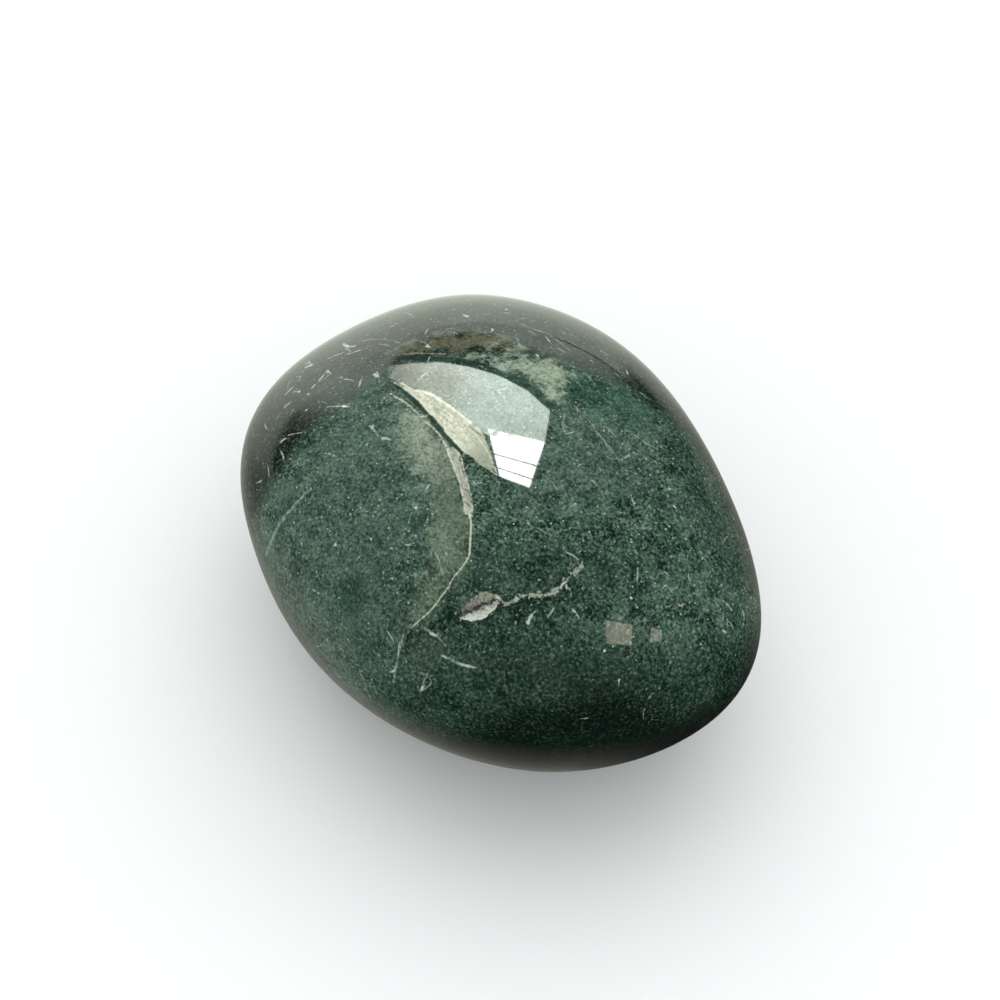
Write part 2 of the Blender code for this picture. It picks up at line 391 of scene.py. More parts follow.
# Lines on that side: how many there are of a kind, how long and how wide they are in
# millimetres, the length of their steps, how far a step turns, how wide their ends are as a
# share of their middle, and how far a place there may still look toward the camera
WILD_KINDS = {"white": (12, (2.0, 7.0), (0.07, 0.13)), "vein": (3, (6.0, 12.0), (0.12, 0.2))}
WILD_STEP = 0.4
WILD_TURN = 0.28
WILD_END = 0.35
FAR_SIDE = 0.12

# What smoothing draws the body in by, and the body is stretched by to make up for it, and the
# angle from which on an edge stays sharp
SMOOTHING_LOSS = (1.006, 1.006, 1.003)
SHARP_ANGLE = math.radians(40)

# The pit's cutter: its rings and segments, how near a ring's points lie to its height, how pointed
# its ends are, and the size and depth of the crumbs on its skin
PIT_RINGS = 32
PIT_SEGMENTS = 56
RING_REACH = 0.01
PIT_POINTEDNESS = 0.5
CRUMBLE_SIZE = 0.36 * MM
CRUMBLE_DEPTH = 0.30 * MM

# How strongly chalcedony bends light, which gives the polish its gloss
CHALCEDONY_IOR = 1.54

# The stone's noises: clouds, mottle and streaks per millimetre, strands and crumbs per grain's
# width, and how far off from that of the grains the crumbs' noise is read
CLOUD_SCALE = 0.17
MOTTLE_SCALE = 0.8
STREAK_SCALE = 5.0
STRAND_SCALE = 0.6
CRUMB_SCALE = 0.9
CRUMB_SHIFT = (31.0, 17.0, 53.0)

# How the borders and the grain come out of them, how much of the mottle there is in the grain,
# and how much a strand counts beside a crumb
EDGE_WANDER = (0.3, 0.7, -1.0, 1.0)
GRAIN_ON_PALE = (0.35, 0.65, 0.5, 1.4)
GRAIN_ON_DARK = (0.35, 0.65, 1.2, 0.8)
MOTTLE_IN_GRAIN = 0.8
GREEN_TONES = (0.69, 1.09)
CLOUD_TONES = (0.44, 0.66)
HOLLOW_TONES = (0.50, 0.34)
STRAND_TONES = (0.075, 0.0)
STRAND_STRENGTH = 0.55
CRUMB_TONES = (0.53, 0.66)
FELT_TONES = (0.77, 1.08)

# The clear rim: how far its border wanders and how soft it is in millimetres, and how strongly the
# specks show in it
RIM_WANDER = 0.35
RIM_SOFTNESS = 0.5
RIM_SPECKS = 0.60

# The cleft: where its wing turns into its tip, its streaks and how much of the crumbs there is in
# them, and how far its edge wanders in millimetres
TIP_TONES = (5.6, 7.6)
STREAK_TONES = (0.80, 1.12)
CRUMBS_IN_STREAKS = 0.9
CLEFT_WANDER = 0.12

# The edges of specks, ticks and lines, and how the grain breaks up a line
SPECK_SOFTNESS = 0.03
FLECK_EDGE = (1.4, 0.5)
LINE_RAGGEDNESS = (0.3, 0.7, -0.6, 0.6)
LINE_GAPS = (0.36, 0.54, 0.35, 1.0)

# The pit's floor: its grey crumbs, its cream side, which is painted light on the slope toward the
# window and which its lumps make uneven, the dirt, the frost and the dark slit, which is painted
# shade and lies beside its middle, and how high its fine grains stand
GREY_CRUMB_TONES = (0.44, 0.56)
LIT_SIDE_TONES = (0.60, 0.90)
LUMPS_IN_LIT_SLOPE = 1.2
DIRT_TONES = (0.48, 0.62)
FROST_TONES = (0.45, 0.15)
SLIT_SHADE_TONES = (0.71, 0.55)
SLIT_ASIDE = 0.10
SLIT_STEEPNESS = 1.1
BUMP_HEIGHT = 0.06 * MM

# The ways that the bright and the dark side of the room lie in, as seen from the stone, and those
# of two places at the far end of the mirrored floor that are painted darker as shade: how wide each
# one is, from where to where the floor darkens toward it, and by how much
BRIGHT_WAY = (math.cos(math.radians(142)), math.sin(math.radians(142)), 0.0)
DARK_WAY = (math.cos(math.radians(15)), math.sin(math.radians(15)), 0.0)
FAR_PAINTED_DARKS = (
    (math.radians(101), (0.975, 0.993), (35 * MM, 160 * MM), 0.95),
    (math.radians(178), (0.972, 0.990), (110 * MM, 330 * MM), 0.78),
)

# How the mirrored floor glows: toward the bright and the dark side, on the open side, with the
# distance, where it is dimmer near the stone as the stone's painted shadow, and from where to where
# it falls dark on the sides that aren't open, also painted shadow. The last number says how far it
# lies under the plain floor
BRIGHT_SIDE = (-0.4, 1.0)
BRIGHT_SIDE_POWER = 6.0
BRIGHT_SIDE_GLOW = (0.32, 1.42)
DARK_SIDE = (0.75, 0.97, 1.0, 0.1)
OPEN_SIDE = (0.2, 0.75)
NEAR_RISE = (6 * MM, 60 * MM, 0.7, 1.15)
FALL_START = (-0.2, -0.6, 30 * MM, 13 * MM)
FALL_END = (-0.2, -0.6, 75 * MM, 25 * MM)
FALL_GLOW = 0.03
FLOOR_GAP = 0.5 * MM

# The overhead light, and how bright the air is as light, as the polish mirrors it and to the eye
FILL_PLACE = (-0.15, 0.15, 0.55)
FILL_SIZE = 0.7
ROOM_LIGHT = 0.98
ROOM_GLOSS = 0.055
ROOM_SEEN = 0.93


def linear(hex_colour):
    """An sRGB hex colour as linear red, green, blue and alpha."""
    parts = [int(hex_colour[start:start + 2], 16) / 255 for start in (1, 3, 5)]
    return tuple(
        part / 12.92 if part <= 0.04045 else ((part + 0.055) / 1.055) ** 2.4 for part in parts
    ) + (1.0,)


BLACK_GREEN = linear("#08140f")
DARK_GREEN = linear("#0d1e16")
MID_GREEN = linear("#41614f")
SAGE = linear("#9db0a0")
CLOUD_GREEN = linear("#546a5d")
CLEAR_DARK = linear("#0d1611")
CLEAR_GREY = linear("#2d3a33")
HAZE_OLIVE = linear("#7b8a74")
HAZE_GREY = linear("#525a50")
# Painted reflection of a brown strip by the window
MIRRORED_STRIP_BROWN = linear("#696a55")
PALE_SAGE = linear("#9dae97")
PALE_CREAM = linear("#b0b69f")
BLUE_GREEN = linear("#142c2a")
BROWN_GREEN = linear("#343a2c")
TEAL_GREEN = linear("#275244")
GREY_GREEN = linear("#5a6d62")
GAP_GREEN = linear("#1b372c")
# Painted reflection of the window's dark frame
MIRRORED_FRAME_BLACK = linear("#20352c")
MIRRORED_FRAME_GREEN = linear("#1f4235")
# Partly a painted reflection of the window on the wing
WING_CREAM_AND_REFLECTION = linear("#eef0db")
WING_SHADE = linear("#b0b59b")
WING_TIP = linear("#8f9787")
SLIVER_BEIGE = linear("#b9bfad")
SLIVER_SHADE = linear("#93978a")
THREAD_CREAM = linear("#ccd1b8")
VEIN_GREY = linear("#b0b9a9")
EDGE_BEIGE = linear("#98907e")
EDGE_CREAM = linear("#dce1cc")
FRINGE_OLIVE = linear("#96997f")
HAZE_PALE = linear("#a7b39e")
WHITE_CRACK = linear("#9aaa9c")
SPECK_WHITE = linear("#a9b9aa")
WHITE_GLINT = linear("#e4ebe4")
PIT_FROST = linear("#dfe2d6")
# The pit's dark slit is painted shade, and its cream side painted light
PIT_SHADE_DARK = linear("#231d18")
PIT_BROWN = linear("#7c7168")
PIT_LIT_CREAM = linear("#c5cdc0")
PIT_GREY = linear("#95a193")
WALL_TINT = linear("#e2ebe0")
CURTAIN_TINT = linear("#d2ddd2")
CURTAIN_DIM_TINT = linear("#dbd3c6")
DAY_TINT = linear("#ffffff")
BEIGE_TINT = linear("#dccdbc")
WARM_FLOOR_TINT = linear("#eee9de")
GREEN_FLOOR_TINT = linear("#e8f0e0")
AIR_TINT = linear("#f6f8f8")

# Each patch: its name, outline and tint, how soft its edge is and how far that wanders, both in
# millimetres, and how strongly it covers what is below. The first lie below the pale flecks
DEEP_PATCHES = (
    ("grey_left", GREY_LEFT, GREY_GREEN, 2.2, 0.6, 0.38),
    ("grey_right", GREY_RIGHT, GREY_GREEN, 1.2, 0.8, 0.34),
    ("haze", HAZE, HAZE_OLIVE, 0.8, 0.5, 0.54),
    ("haze_bright", HAZE_BRIGHT, HAZE_PALE, 1.3, 0.7, 0.50),
)
DARK_PATCHES_AND_SHADE = (
    # The low ones and the foot are darker stone with painted shade on the lower side
    ("low_dark_and_shade", LOW_DARK_AND_SHADE, DARK_GREEN, 1.8, 1.0, 0.62),
    ("bottom_black_and_shade", BOTTOM_BLACK_AND_SHADE, BLACK_GREEN, 1.4, 0.9, 0.88),
    ("deep_middle", DEEP_MIDDLE, DARK_GREEN, 1.4, 1.2, 0.42),
    ("dim_left", DIM_LEFT, DARK_GREEN, 1.0, 0.8, 0.24),
    ("right_shade", RIGHT_SHADE, DARK_GREEN, 0.9, 0.6, 0.45),
    ("clear_foot_and_shade", CLEAR_FOOT_AND_SHADE, CLEAR_DARK, 0.9, 0.5, 0.85),
    ("teal_clearing", TEAL_CLEARING, TEAL_GREEN, 0.7, 0.5, 0.35),
    ("haze_shade", HAZE_SHADE, HAZE_GREY, 0.5, 0.2, 0.35),
    ("brown_low", BROWN_LOW, BROWN_GREEN, 0.8, 0.6, 0.45),
    ("blue_patch", BLUE_PATCH, BLUE_GREEN, 0.45, 0.3, 0.55),
)
PALE_PATCHES = (
    # A painted reflection of a brown strip by the window
    ("mirrored_brown_strip", MIRRORED_BROWN_STRIP, MIRRORED_STRIP_BROWN, 0.3, 0.5, 0.85),
    ("pale_patch", PALE_PATCH, PALE_SAGE, 0.6, 0.8, 0.88),
    ("cream_patch", CREAM_PATCH, PALE_CREAM, 0.5, 0.9, 0.18),
    ("blue_patch_heart", BLUE_PATCH_HEART, MID_GREEN, 0.25, 0.2, 0.4),
)

# Each kind of line: its name, its lines, its tint, how strongly it covers what is below, and how
# far its edge wanders in millimetres
LINE_KINDS = (
    ("gap", (GAP,), GAP_GREEN, 0.9, 0.05),
    # The window's dark frame and its runout, painted on as a reflection
    ("strip_runout", (MIRRORED_FRAME_RUNOUT,), MIRRORED_FRAME_GREEN, 0.6, 0.05),
    ("strip", (MIRRORED_FRAME,), MIRRORED_FRAME_BLACK, 0.84, 0.03),
    ("strip_edge", STRIP_EDGE, EDGE_BEIGE, 0.8, 0.08),
    ("olive", OLIVE_LINES, FRINGE_OLIVE, 0.8, 0.15),
    # Dark cracks and a painted shadow under a vein
    ("dark", DARK_LINES_AND_SHADOW, BLACK_GREEN, 0.8, 0.06),
    ("thread", CREAM_THREAD, THREAD_CREAM, 0.9, 0.025),
    ("vein", VEINS, VEIN_GREY, 0.68, 0.3),
    ("edge", PALE_EDGES, EDGE_CREAM, 0.75, 0.06),
    ("white", WHITE_LINES, WHITE_CRACK, 0.6, 0.07),
)

# The cleft's parts: name, ground tint, the streaks' tint, the tip's tint, and how many times as
# long as wide the streaks are
CLEFT_PARTS = (
    ("sliver", SLIVER_BEIGE, SLIVER_SHADE, SLIVER_BEIGE, 3.0),
    # The wing's cream is partly a painted reflection of the window
    ("wing", WING_CREAM_AND_REFLECTION, WING_SHADE, WING_TIP, 12.0),
)

# Each kind of speck: how many places for one there are per millimetre, its radius in millimetres,
# the share of those places that have one, its tint, and how strongly it covers what is below
SPECKS = (
    (3.0, 0.072, 0.40, SPECK_WHITE, 0.90),
    (2.2, 0.090, 0.35, BLACK_GREEN, 0.35),
)


def add_node(tree, kind, inputs=(), **settings):
    """Adds a node. Its inputs come in their order, or in a dictionary by their number or name.

    Each is a value, an output to link it from, or a node whose first output it is linked from.
    """
    node = tree.nodes.new("ShaderNode" + kind)
    for name, value in settings.items():
        setattr(node, name, value)
    pairs = inputs.items() if isinstance(inputs, dict) else enumerate(inputs)
    for name, value in pairs:
        if isinstance(value, bpy.types.Node):
            value = value.outputs[0]
        if isinstance(value, bpy.types.NodeSocket):
            tree.links.new(value, node.inputs[name])
        else:
            node.inputs[name].default_value = value
    return node


def new_material(name):
    """A material with no nodes, and its tree."""
    material = bpy.data.materials.new(name)
    material.use_nodes = True
    material.node_tree.nodes.clear()
    return material, material.node_tree


def add_surface(tree, kind, inputs):
    """Adds a shader and makes it the surface that the material shows."""
    shader = add_node(tree, kind, inputs)
    add_node(tree, "OutputMaterial", (shader,))
    return shader


def add_object(adder, name, **settings):
    """Adds an object with one of Blender's operators and names it."""
    bpy.ops.object.select_all(action="DESELECT")
    adder(**settings)
    made = bpy.context.object
    made.name = name
    return made


def hide_from(piece, *rays):
    """Hides an object from some kinds of rays, such as those of the camera."""
    for ray in rays:
        setattr(piece, f"visible_{ray}", False)


def only(piece):
    """Makes one object the selected and active one."""
    bpy.ops.object.select_all(action="DESELECT")
    piece.select_set(True)
    bpy.context.view_layer.objects.active = piece


def apply_modifier(piece, kind, **settings):
    """Adds a modifier with its settings and applies it."""
    only(piece)
    modifier = piece.modifiers.new(kind, kind)
    for name, value in settings.items():
        setattr(modifier, name, value)
    bpy.ops.object.modifier_apply(modifier=modifier.name)


def stretch_points(piece, chosen, stretch):
    """Stretches the points for which the test on their place holds, from the origin."""
    bpy.ops.object.mode_set(mode="EDIT")
    bpy.ops.mesh.select_mode(type="VERT")
    bpy.ops.mesh.select_all(action="DESELECT")
    bpy.ops.object.mode_set(mode="OBJECT")
    for vertex in piece.data.vertices:
        vertex.select = chosen(vertex.co)
    bpy.ops.object.mode_set(mode="EDIT")
    bpy.ops.transform.resize(value=stretch, center_override=(0, 0, 0))
    bpy.ops.object.mode_set(mode="OBJECT")


def read_rows(points, name):
    """A vector that each of a mesh's points has, one row each."""
    flat = np.empty(len(points) * 3)
    points.foreach_get(name, flat)
    return flat.reshape(-1, 3)


def write_rows(piece, name, rows):
    """Stores a number or a vector for each point of a mesh under a name that the material reads."""
    rows = np.asarray(rows, np.float32)
    kind, key = ("FLOAT", "value") if rows.ndim == 1 else ("FLOAT_VECTOR", "vector")
    attribute = piece.data.attributes.new(name, kind, "POINT")
    attribute.data.foreach_set(key, rows.ravel())


def to_photo(points):
    """Where points fall in the photograph, in its pixels."""
    away = points - np.array(CAMERA_AIM)
    scale = FOCAL_PIXELS / (CAMERA_DISTANCE - away @ np.array(BACK))
    across = PHOTO_PIXELS / 2 + away @ np.array(RIGHT) * scale
    down = PHOTO_PIXELS / 2 - away @ np.array(UP) * scale
    return np.column_stack((across, down))


class Surface:
    """A body's surface, on which the photograph's pixels and other places are found."""

    def __init__(self, piece):
        self.points = [vertex.co.copy() for vertex in piece.data.vertices]
        self.normals = [Vector(row) for row in read_rows(piece.data.vertex_normals, "vector")]
        self.faces = [tuple(face.vertices) for face in piece.data.polygons]
        self.tree = BVHTree.FromPolygons(self.points, self.faces)

    def smooth_normal(self, point, face):
        """The normal that the shading has at a point of a face."""
        corners = self.faces[face]
        weights = poly_3d_calc([self.points[corner] for corner in corners], point)
        normal = Vector((0, 0, 0))
        for corner, weight in zip(corners, weights):
            normal += self.normals[corner] * weight
        return normal.normalized()

    def under_pixel(self, x, y):
        """The point under a pixel and its normal, or the nearest one where the pixel just misses."""
        aside = RIGHT * ((x - PHOTO_PIXELS / 2) / FOCAL_PIXELS)
        below = UP * ((y - PHOTO_PIXELS / 2) / FOCAL_PIXELS)
        ray = (aside - below - BACK).normalized()
        point, _, face, _ = self.tree.ray_cast(CAMERA_PLACE, ray)
        if point is None:
            return self.near(CAMERA_PLACE + ray * (STONE_MIDDLE - CAMERA_PLACE).dot(ray))
        return point, self.smooth_normal(point, face)

    def near(self, place):
        """The point nearest to a place, and its normal."""
        point, _, face, _ = self.tree.find_nearest(place)
        return point, self.smooth_normal(point, face)


def smooth_line(points, step):
    """Points about a step apart on a smooth curve through the given ones; each may carry a width."""
    knots = np.array(points, float)
    ends = np.vstack((2 * knots[0] - knots[1], knots, 2 * knots[-1] - knots[-2]))
    line = []
    for before, start, end, after in zip(ends, ends[1:], ends[2:], ends[3:]):
        count = max(1, round(float(np.hypot(*(end - start)[:2])) / step))
        for part in np.arange(count) / count:
            bend = (2 * before - 5 * start + 4 * end - after) * part ** 2
            twist = (3 * start - before - 3 * end + after) * part ** 3
            line.append(start + ((end - before) * part + bend + twist) / 2)
    line.append(knots[-1])
    return np.array(line)


def patch_distance(outline, places):
    """How far inside an outline flat places lie, negative where they lie outside it."""
    corners = np.array(outline, float)
    nearest = np.full(len(places), np.inf)
    inside = np.zeros(len(places), bool)
    for start, end in zip(corners, np.roll(corners, -1, axis=0)):
        edge = end - start
        along = np.clip((places - start) @ edge / (edge @ edge), 0, 1)
        nearest = np.minimum(nearest, np.linalg.norm(places - start - along[:, None] * edge, axis=1))
        crosses = (start[1] > places[:, 1]) != (end[1] > places[:, 1])
        height = end[1] - start[1] if end[1] != start[1] else 1.0
        inside ^= crosses & (places[:, 0] < start[0] + edge[0] * (places[:, 1] - start[1]) / height)
    return np.where(inside, nearest, -nearest)


def axis_places(axis, places):
    """Each flat place's distance along an axis line and across it."""
    line = np.array(axis, float)
    run = 0.0
    best = np.full(len(places), np.inf)
    along = np.zeros(len(places))
    across = np.zeros(len(places))
    for start, end in zip(line, line[1:]):
        edge = end - start
        length = float(np.hypot(*edge))
        part = np.clip((places - start) @ edge / length ** 2, 0, 1)
        offset = places - start - part[:, None] * edge
        distance = np.linalg.norm(offset, axis=1)
        closer = distance < best
        side = np.sign(edge[0] * offset[:, 1] - edge[1] * offset[:, 0])
        best = np.where(closer, distance, best)
        along = np.where(closer, run + part * length, along)
        across = np.where(closer, side * distance, across)
        run += length
    return along, across


class MarkLayers:
    """Stacks marks in layers, so that no two marks of one layer come near each other."""

    def __init__(self, piece, name, nothing):
        self.piece = piece
        self.name = name
        self.points = read_rows(piece.data.vertices, "co") / MM
        self.nothing = nothing
        self.layers = []
        self.taken = []

    def put(self, near, values):
        """Adds a mark: the points that it reaches, and their values."""
        for layer, taken in zip(self.layers, self.taken):
            if not taken[near].any():
                break
        else:
            layer = np.tile(np.array(self.nothing, float), (len(self.points), 1))
            taken = np.zeros(len(self.points), bool)
            self.layers.append(layer)
            self.taken.append(taken)
        layer[near] = values
        taken[near] = True

    def write(self):
        """Stores the layers and returns their names."""
        names = [f"{self.name}_{number}" for number in range(len(self.layers))]
        for name, layer in zip(names, self.layers):
            write_rows(self.piece, name, layer)
        return names


def put_fleck(layers, start, end, normal, width, strength, bend):
    """A short bent mark: its points hold their place along and across it, and how bright it is."""
    start, end, normal = (np.array(part) for part in (start, end, normal))
    span = float(np.linalg.norm(end - start))
    length = max(span, width)
    along = (end - start) / max(span, 1e-9)
    across = np.cross(normal, along)
    away = layers.points - (start + end) / 2
    distance = np.linalg.norm(away, axis=1)
    near = distance < length / 2 + MARK_RING * 2
    away, distance = away[near], distance[near]
    weight = strength * (distance < length / 2 + MARK_RING)
    lengthwise = away @ along * 2 / length
    sideways = away @ across * 2 / width + bend * (lengthwise ** 2 - BEND_MIDDLE)
    layers.put(near, np.column_stack((lengthwise, sideways, weight)))


def put_band(layers, places, normals, widths):
    """A long mark: its points hold the distance across it, its half width there, and a weight."""
    places, normals = np.array(places), np.array(normals)
    reach = float(max(widths)) / 2 + MARK_RING * 2
    low, high = places.min(0) - reach, places.max(0) + reach
    near = np.nonzero(((layers.points > low) & (layers.points < high)).all(1))[0]
    best = np.full(len(near), np.inf)
    across = np.zeros(len(near))
    half = np.zeros(len(near))
    last = len(places) - 2
    for number, (start, end) in enumerate(zip(places, places[1:])):
        edge = end - start
        length = float(np.linalg.norm(edge))
        edge = edge / length
        away = layers.points[near] - start
        part = away @ edge
        inner = np.clip(part, 0, length)
        distance = np.linalg.norm(away - inner[:, None] * edge, axis=1)
        closer = distance < best
        beyond = np.abs(part - inner) if number in (0, last) else 0 * part
        before_start = (number == 0) & (part < 0)
        after_end = (number == last) & (part > length)
        width = widths[number] + (widths[number + 1] - widths[number]) * inner / length
        here = np.where(before_start | after_end, width / 2 - beyond, width / 2)
        sideways = away @ np.cross(normals[number], edge)
        best = np.where(closer, distance, best)
        across = np.where(closer, sideways, across)
        half = np.where(closer, here, half)
    kept = best < reach
    weight = (best[kept] < reach - MARK_RING).astype(float)
    layers.put(near[kept], np.column_stack((across[kept], half[kept], weight)))


def photo_band(layers, surface, line):
    """Lays a line that was read off the photograph, with its widths in pixels, on the stone."""
    course = smooth_line(line, LINE_STEP)
    found = [surface.under_pixel(x, y) for x, y, _ in course]
    places = [point / MM for point, _ in found]
    normals = [normal for _, normal in found]
    put_band(layers, places, normals, course[:, 2] * PIXEL / MM)


def any_way(draw):
    """A vector with its three parts drawn from -1 to 1."""
    return Vector([draw.uniform(-1, 1) for _ in range(3)])


def far_place(draw):
    """A random place round the stone that the photograph doesn't show."""
    while True:
        way = Vector([draw.gauss(0, 1) for _ in range(3)]).normalized()
        if way.dot(BACK) < FAR_SIDE:
            return STONE_MIDDLE + Vector(part * size for part, size in zip(way, STONE_SIZE))


def wild_band(layers, surface, draw, length, width):
    """Lays a hairline crack that wanders from a random place of the far side."""
    place, normal = surface.near(far_place(draw))
    heading = normal.cross(any_way(draw)).normalized()
    places, normals, widths = [], [], []
    steps = max(4, round(length / WILD_STEP))
    for step in range(steps):
        places.append(place / MM)
        normals.append(normal)
        swell = math.sin(math.pi * (step + 0.5) / steps)
        widths.append(width * (WILD_END + (1 - WILD_END) * swell))
        aside = normal.cross(heading)
        heading = (heading + aside * draw.uniform(-WILD_TURN, WILD_TURN)).normalized()
        place, normal = surface.near(place + heading * WILD_STEP * MM)
        heading = (heading - normal * heading.dot(normal)).normalized()
    put_band(layers, places, normals, widths)


def add_guide():
    """The frame's stone as one closed skin without its pit, for the body to be shrunk on to."""
    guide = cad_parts["stone"].copy()
    guide.data = guide.data.copy()
    bpy.context.scene.collection.objects.link(guide)
    only(guide)
    bpy.ops.object.mode_set(mode="EDIT")
    bpy.ops.mesh.select_all(action="SELECT")
    bpy.ops.mesh.remove_doubles(threshold=0.001 * MM)
    bpy.ops.mesh.convex_hull()
    bpy.ops.object.mode_set(mode="OBJECT")
    return guide


def add_body(settings):
    """The pebble's body: a block of even square patches, rounded and shrunk on to the frame."""
    guide = add_guide()
    cube = bpy.ops.mesh.primitive_cube_add
    body = add_object(cube, "moss_agate_stone", size=1, location=STONE_MIDDLE)
    bpy.ops.object.mode_set(mode="EDIT")
    bpy.ops.mesh.subdivide(number_cuts=settings.patch_rows - 1)
    bpy.ops.transform.tosphere(value=1)
    bpy.ops.object.mode_set(mode="OBJECT")
    body.dimensions = STONE_SIZE
    bpy.ops.object.transform_apply(location=True, rotation=True, scale=True)
    apply_modifier(body, "SHRINKWRAP", target=guide, wrap_method="TARGET_PROJECT")
    apply_modifier(body, "SMOOTH", factor=0.5, iterations=2)
    fineness = settings.fineness
    apply_modifier(body, "SUBSURF", levels=fineness, render_levels=fineness)
    bpy.data.objects.remove(guide)
    stretch_points(body, lambda place: True, SMOOTHING_LOSS)
    stretch_points(body, lambda place: place.z < settings.foot_softness, (1, 1, 0))
    return body


def add_pit_cutter(settings, surface):
    """A leaf-shaped ball with a crumbly skin, half sunk in the stone where the pit is."""
    ball = bpy.ops.mesh.primitive_uv_sphere_add
    cutter = add_object(ball, "pit_cutter", segments=PIT_SEGMENTS, ring_count=PIT_RINGS, radius=1)
    for ring in range(1, PIT_RINGS):
        height = math.cos(math.pi * ring / PIT_RINGS)
        pinch = (1 - height ** 2) ** PIT_POINTEDNESS
        stretch_points(cutter, lambda place: abs(place.z - height) < RING_REACH, (pinch, pinch, 1))
    tip, _ = surface.under_pixel(*PIT_TIP)
    end, _ = surface.under_pixel(*PIT_END)
    middle, normal = surface.near((tip + end) / 2)
    along = (end - tip).normalized()
    across = along.cross(normal).normalized()
    along = normal.cross(across)
    turn = Matrix((normal, across, along)).transposed().to_4x4()
    size = Matrix.Diagonal((settings.pit_depth, settings.pit_width / 2, (end - tip).length / 2, 1))
    cutter.matrix_world = Matrix.Translation(middle) @ turn @ size
    only(cutter)
    bpy.ops.object.transform_apply(location=True, rotation=True, scale=True)
    crumble = bpy.data.textures.new("crumble", "CLOUDS")
    crumble.noise_scale = CRUMBLE_SIZE
    crumble.noise_depth = 2
    apply_modifier(cutter, "DISPLACE", texture=crumble, texture_coords="GLOBAL", strength=CRUMBLE_DEPTH)
    bpy.data.textures.remove(crumble)
    return cutter


def cut_pit(body, cutter):
    """Takes the pit out of the body, and leaves the cutter's finish on what it cut."""
    apply_modifier(
        body, "BOOLEAN", operation="DIFFERENCE", solver="EXACT", object=cutter, material_mode="TRANSFER",
    )
    bpy.data.objects.remove(cutter)


def lay_patches(body):
    """Stores how far each point lies inside the patches that the photograph shows."""
    places = to_photo(read_rows(body.data.vertices, "co"))
    toward = read_rows(body.data.vertex_normals, "vector") @ np.array(BACK)
    behind = np.minimum(toward, 0) * LOSS_BEHIND
    scale = PIXEL / MM

    def depth(outline):
        return patch_distance(outline, places) * scale + behind

    write_rows(body, "grain", patch_distance(GRAIN_BORDER + GRAIN_CORNERS, places) * scale)
    for name, outline, *_ in DEEP_PATCHES + DARK_PATCHES_AND_SHADE + PALE_PATCHES:
        write_rows(body, name, depth(outline))
    write_rows(body, "pit_side", axis_places((PIT_TIP, PIT_END), places)[1] * scale)
    for name, outline, axis in (("wing", WING, WING_AXIS), ("sliver", SLIVER, SLIVER_AXIS)):
        along, across = axis_places(axis, places)
        write_rows(body, name, np.column_stack((depth(outline), along * scale, across * scale)))


def lay_ticks(body, surface, draw):
    """Lays the ticks of the photograph and made-up ones behind it, and returns their layers' names."""
    flecks = MarkLayers(body, "fleck", NO_FLECK)
    for x0, y0, x1, y1, width in TICKS:
        start, normal = surface.under_pixel(x0, y0)
        end, _ = surface.under_pixel(x1, y1)
        strength = min(1.0, width / BRIGHT_TICK_WIDTH) * draw.uniform(*TICK_STRENGTHS)
        bend = draw.uniform(*TICK_BENDS)
        put_fleck(flecks, start / MM, end / MM, normal, width * PIXEL / MM, strength, bend)
    for _ in range(WILD_TICKS):
        place, normal = surface.near(far_place(draw))
        along = normal.cross(any_way(draw)).normalized() * draw.uniform(*WILD_TICK_HALVES)
        width = draw.uniform(*WILD_TICK_WIDTHS)
        strength = draw.uniform(*WILD_TICK_STRENGTHS)
        bend = draw.uniform(*TICK_BENDS)
        put_fleck(flecks, place / MM - along, place / MM + along, normal, width, strength, bend)
    return flecks.write()


def lay_marks(body, surface):
    """Lays the ticks and lines on the stone, and returns the names of their layers by kind."""
    draw = random.Random(SEED)
    names = {"fleck": lay_ticks(body, surface, draw)}
    for kind, lines, *_ in LINE_KINDS:
        bands = MarkLayers(body, kind, NO_BAND)
        for line in lines:
            photo_band(bands, surface, line)
        count, lengths, widths = WILD_KINDS.get(kind, (0, None, None))
        for _ in range(count):
            wild_band(bands, surface, draw, draw.uniform(*lengths), draw.uniform(*widths))
        names[kind] = bands.write()
    return names


def place_in_millimetres(tree):
    """Where on the piece a point lies, in millimetres."""
    held = add_node(tree, "TexCoord").outputs["Object"]
    return add_node(tree, "VectorMath", {0: held, "Scale": 1 / MM}, operation="SCALE")


def layer_parts(tree, name):
    """The three numbers of a stored vector."""
    stored = add_node(tree, "Attribute", attribute_name=name).outputs["Vector"]
    return add_node(tree, "SeparateXYZ", (stored,)).outputs


def product(tree, *factors):
    """The product of several numbers, taken one after another."""
    whole = factors[0]
    for factor in factors[1:]:
        whole = add_node(tree, "Math", (whole, factor), operation="MULTIPLY")
    return whole


def joined_mask(tree, masks):
    """The strongest of several masks."""
    whole = masks[0]
    for mask in masks[1:]:
        whole = add_node(tree, "Math", (whole, mask), operation="MAXIMUM")
    return whole


def fleck_mask(tree, name, ragged):
    """Where the flecks of a layer show: inside their ragged outline, with a soft edge."""
    along, across, weight = layer_parts(tree, name)
    flat = add_node(tree, "CombineXYZ", (along, across))
    far = add_node(tree, "VectorMath", (flat,), operation="LENGTH").outputs["Value"]
    rough = add_node(tree, "Math", (far, ragged), operation="ADD")
    return product(tree, add_node(tree, "MapRange", (rough, *FLECK_EDGE)), weight)


def band_mask(tree, name, ragged, reach):
    """Where the bands of a layer show: within their half width, with a ragged and soft edge."""
    across, half, weight = layer_parts(tree, name)
    far = add_node(tree, "Math", (across,), operation="ABSOLUTE")
    inside = add_node(tree, "Math", (half, far), operation="SUBTRACT")
    inside = add_node(tree, "Math", (ragged, reach, inside), operation="MULTIPLY_ADD")
    shown = add_node(tree, "MapRange", (inside, -EDGE_SOFTNESS, EDGE_SOFTNESS))
    return product(tree, shown, weight)


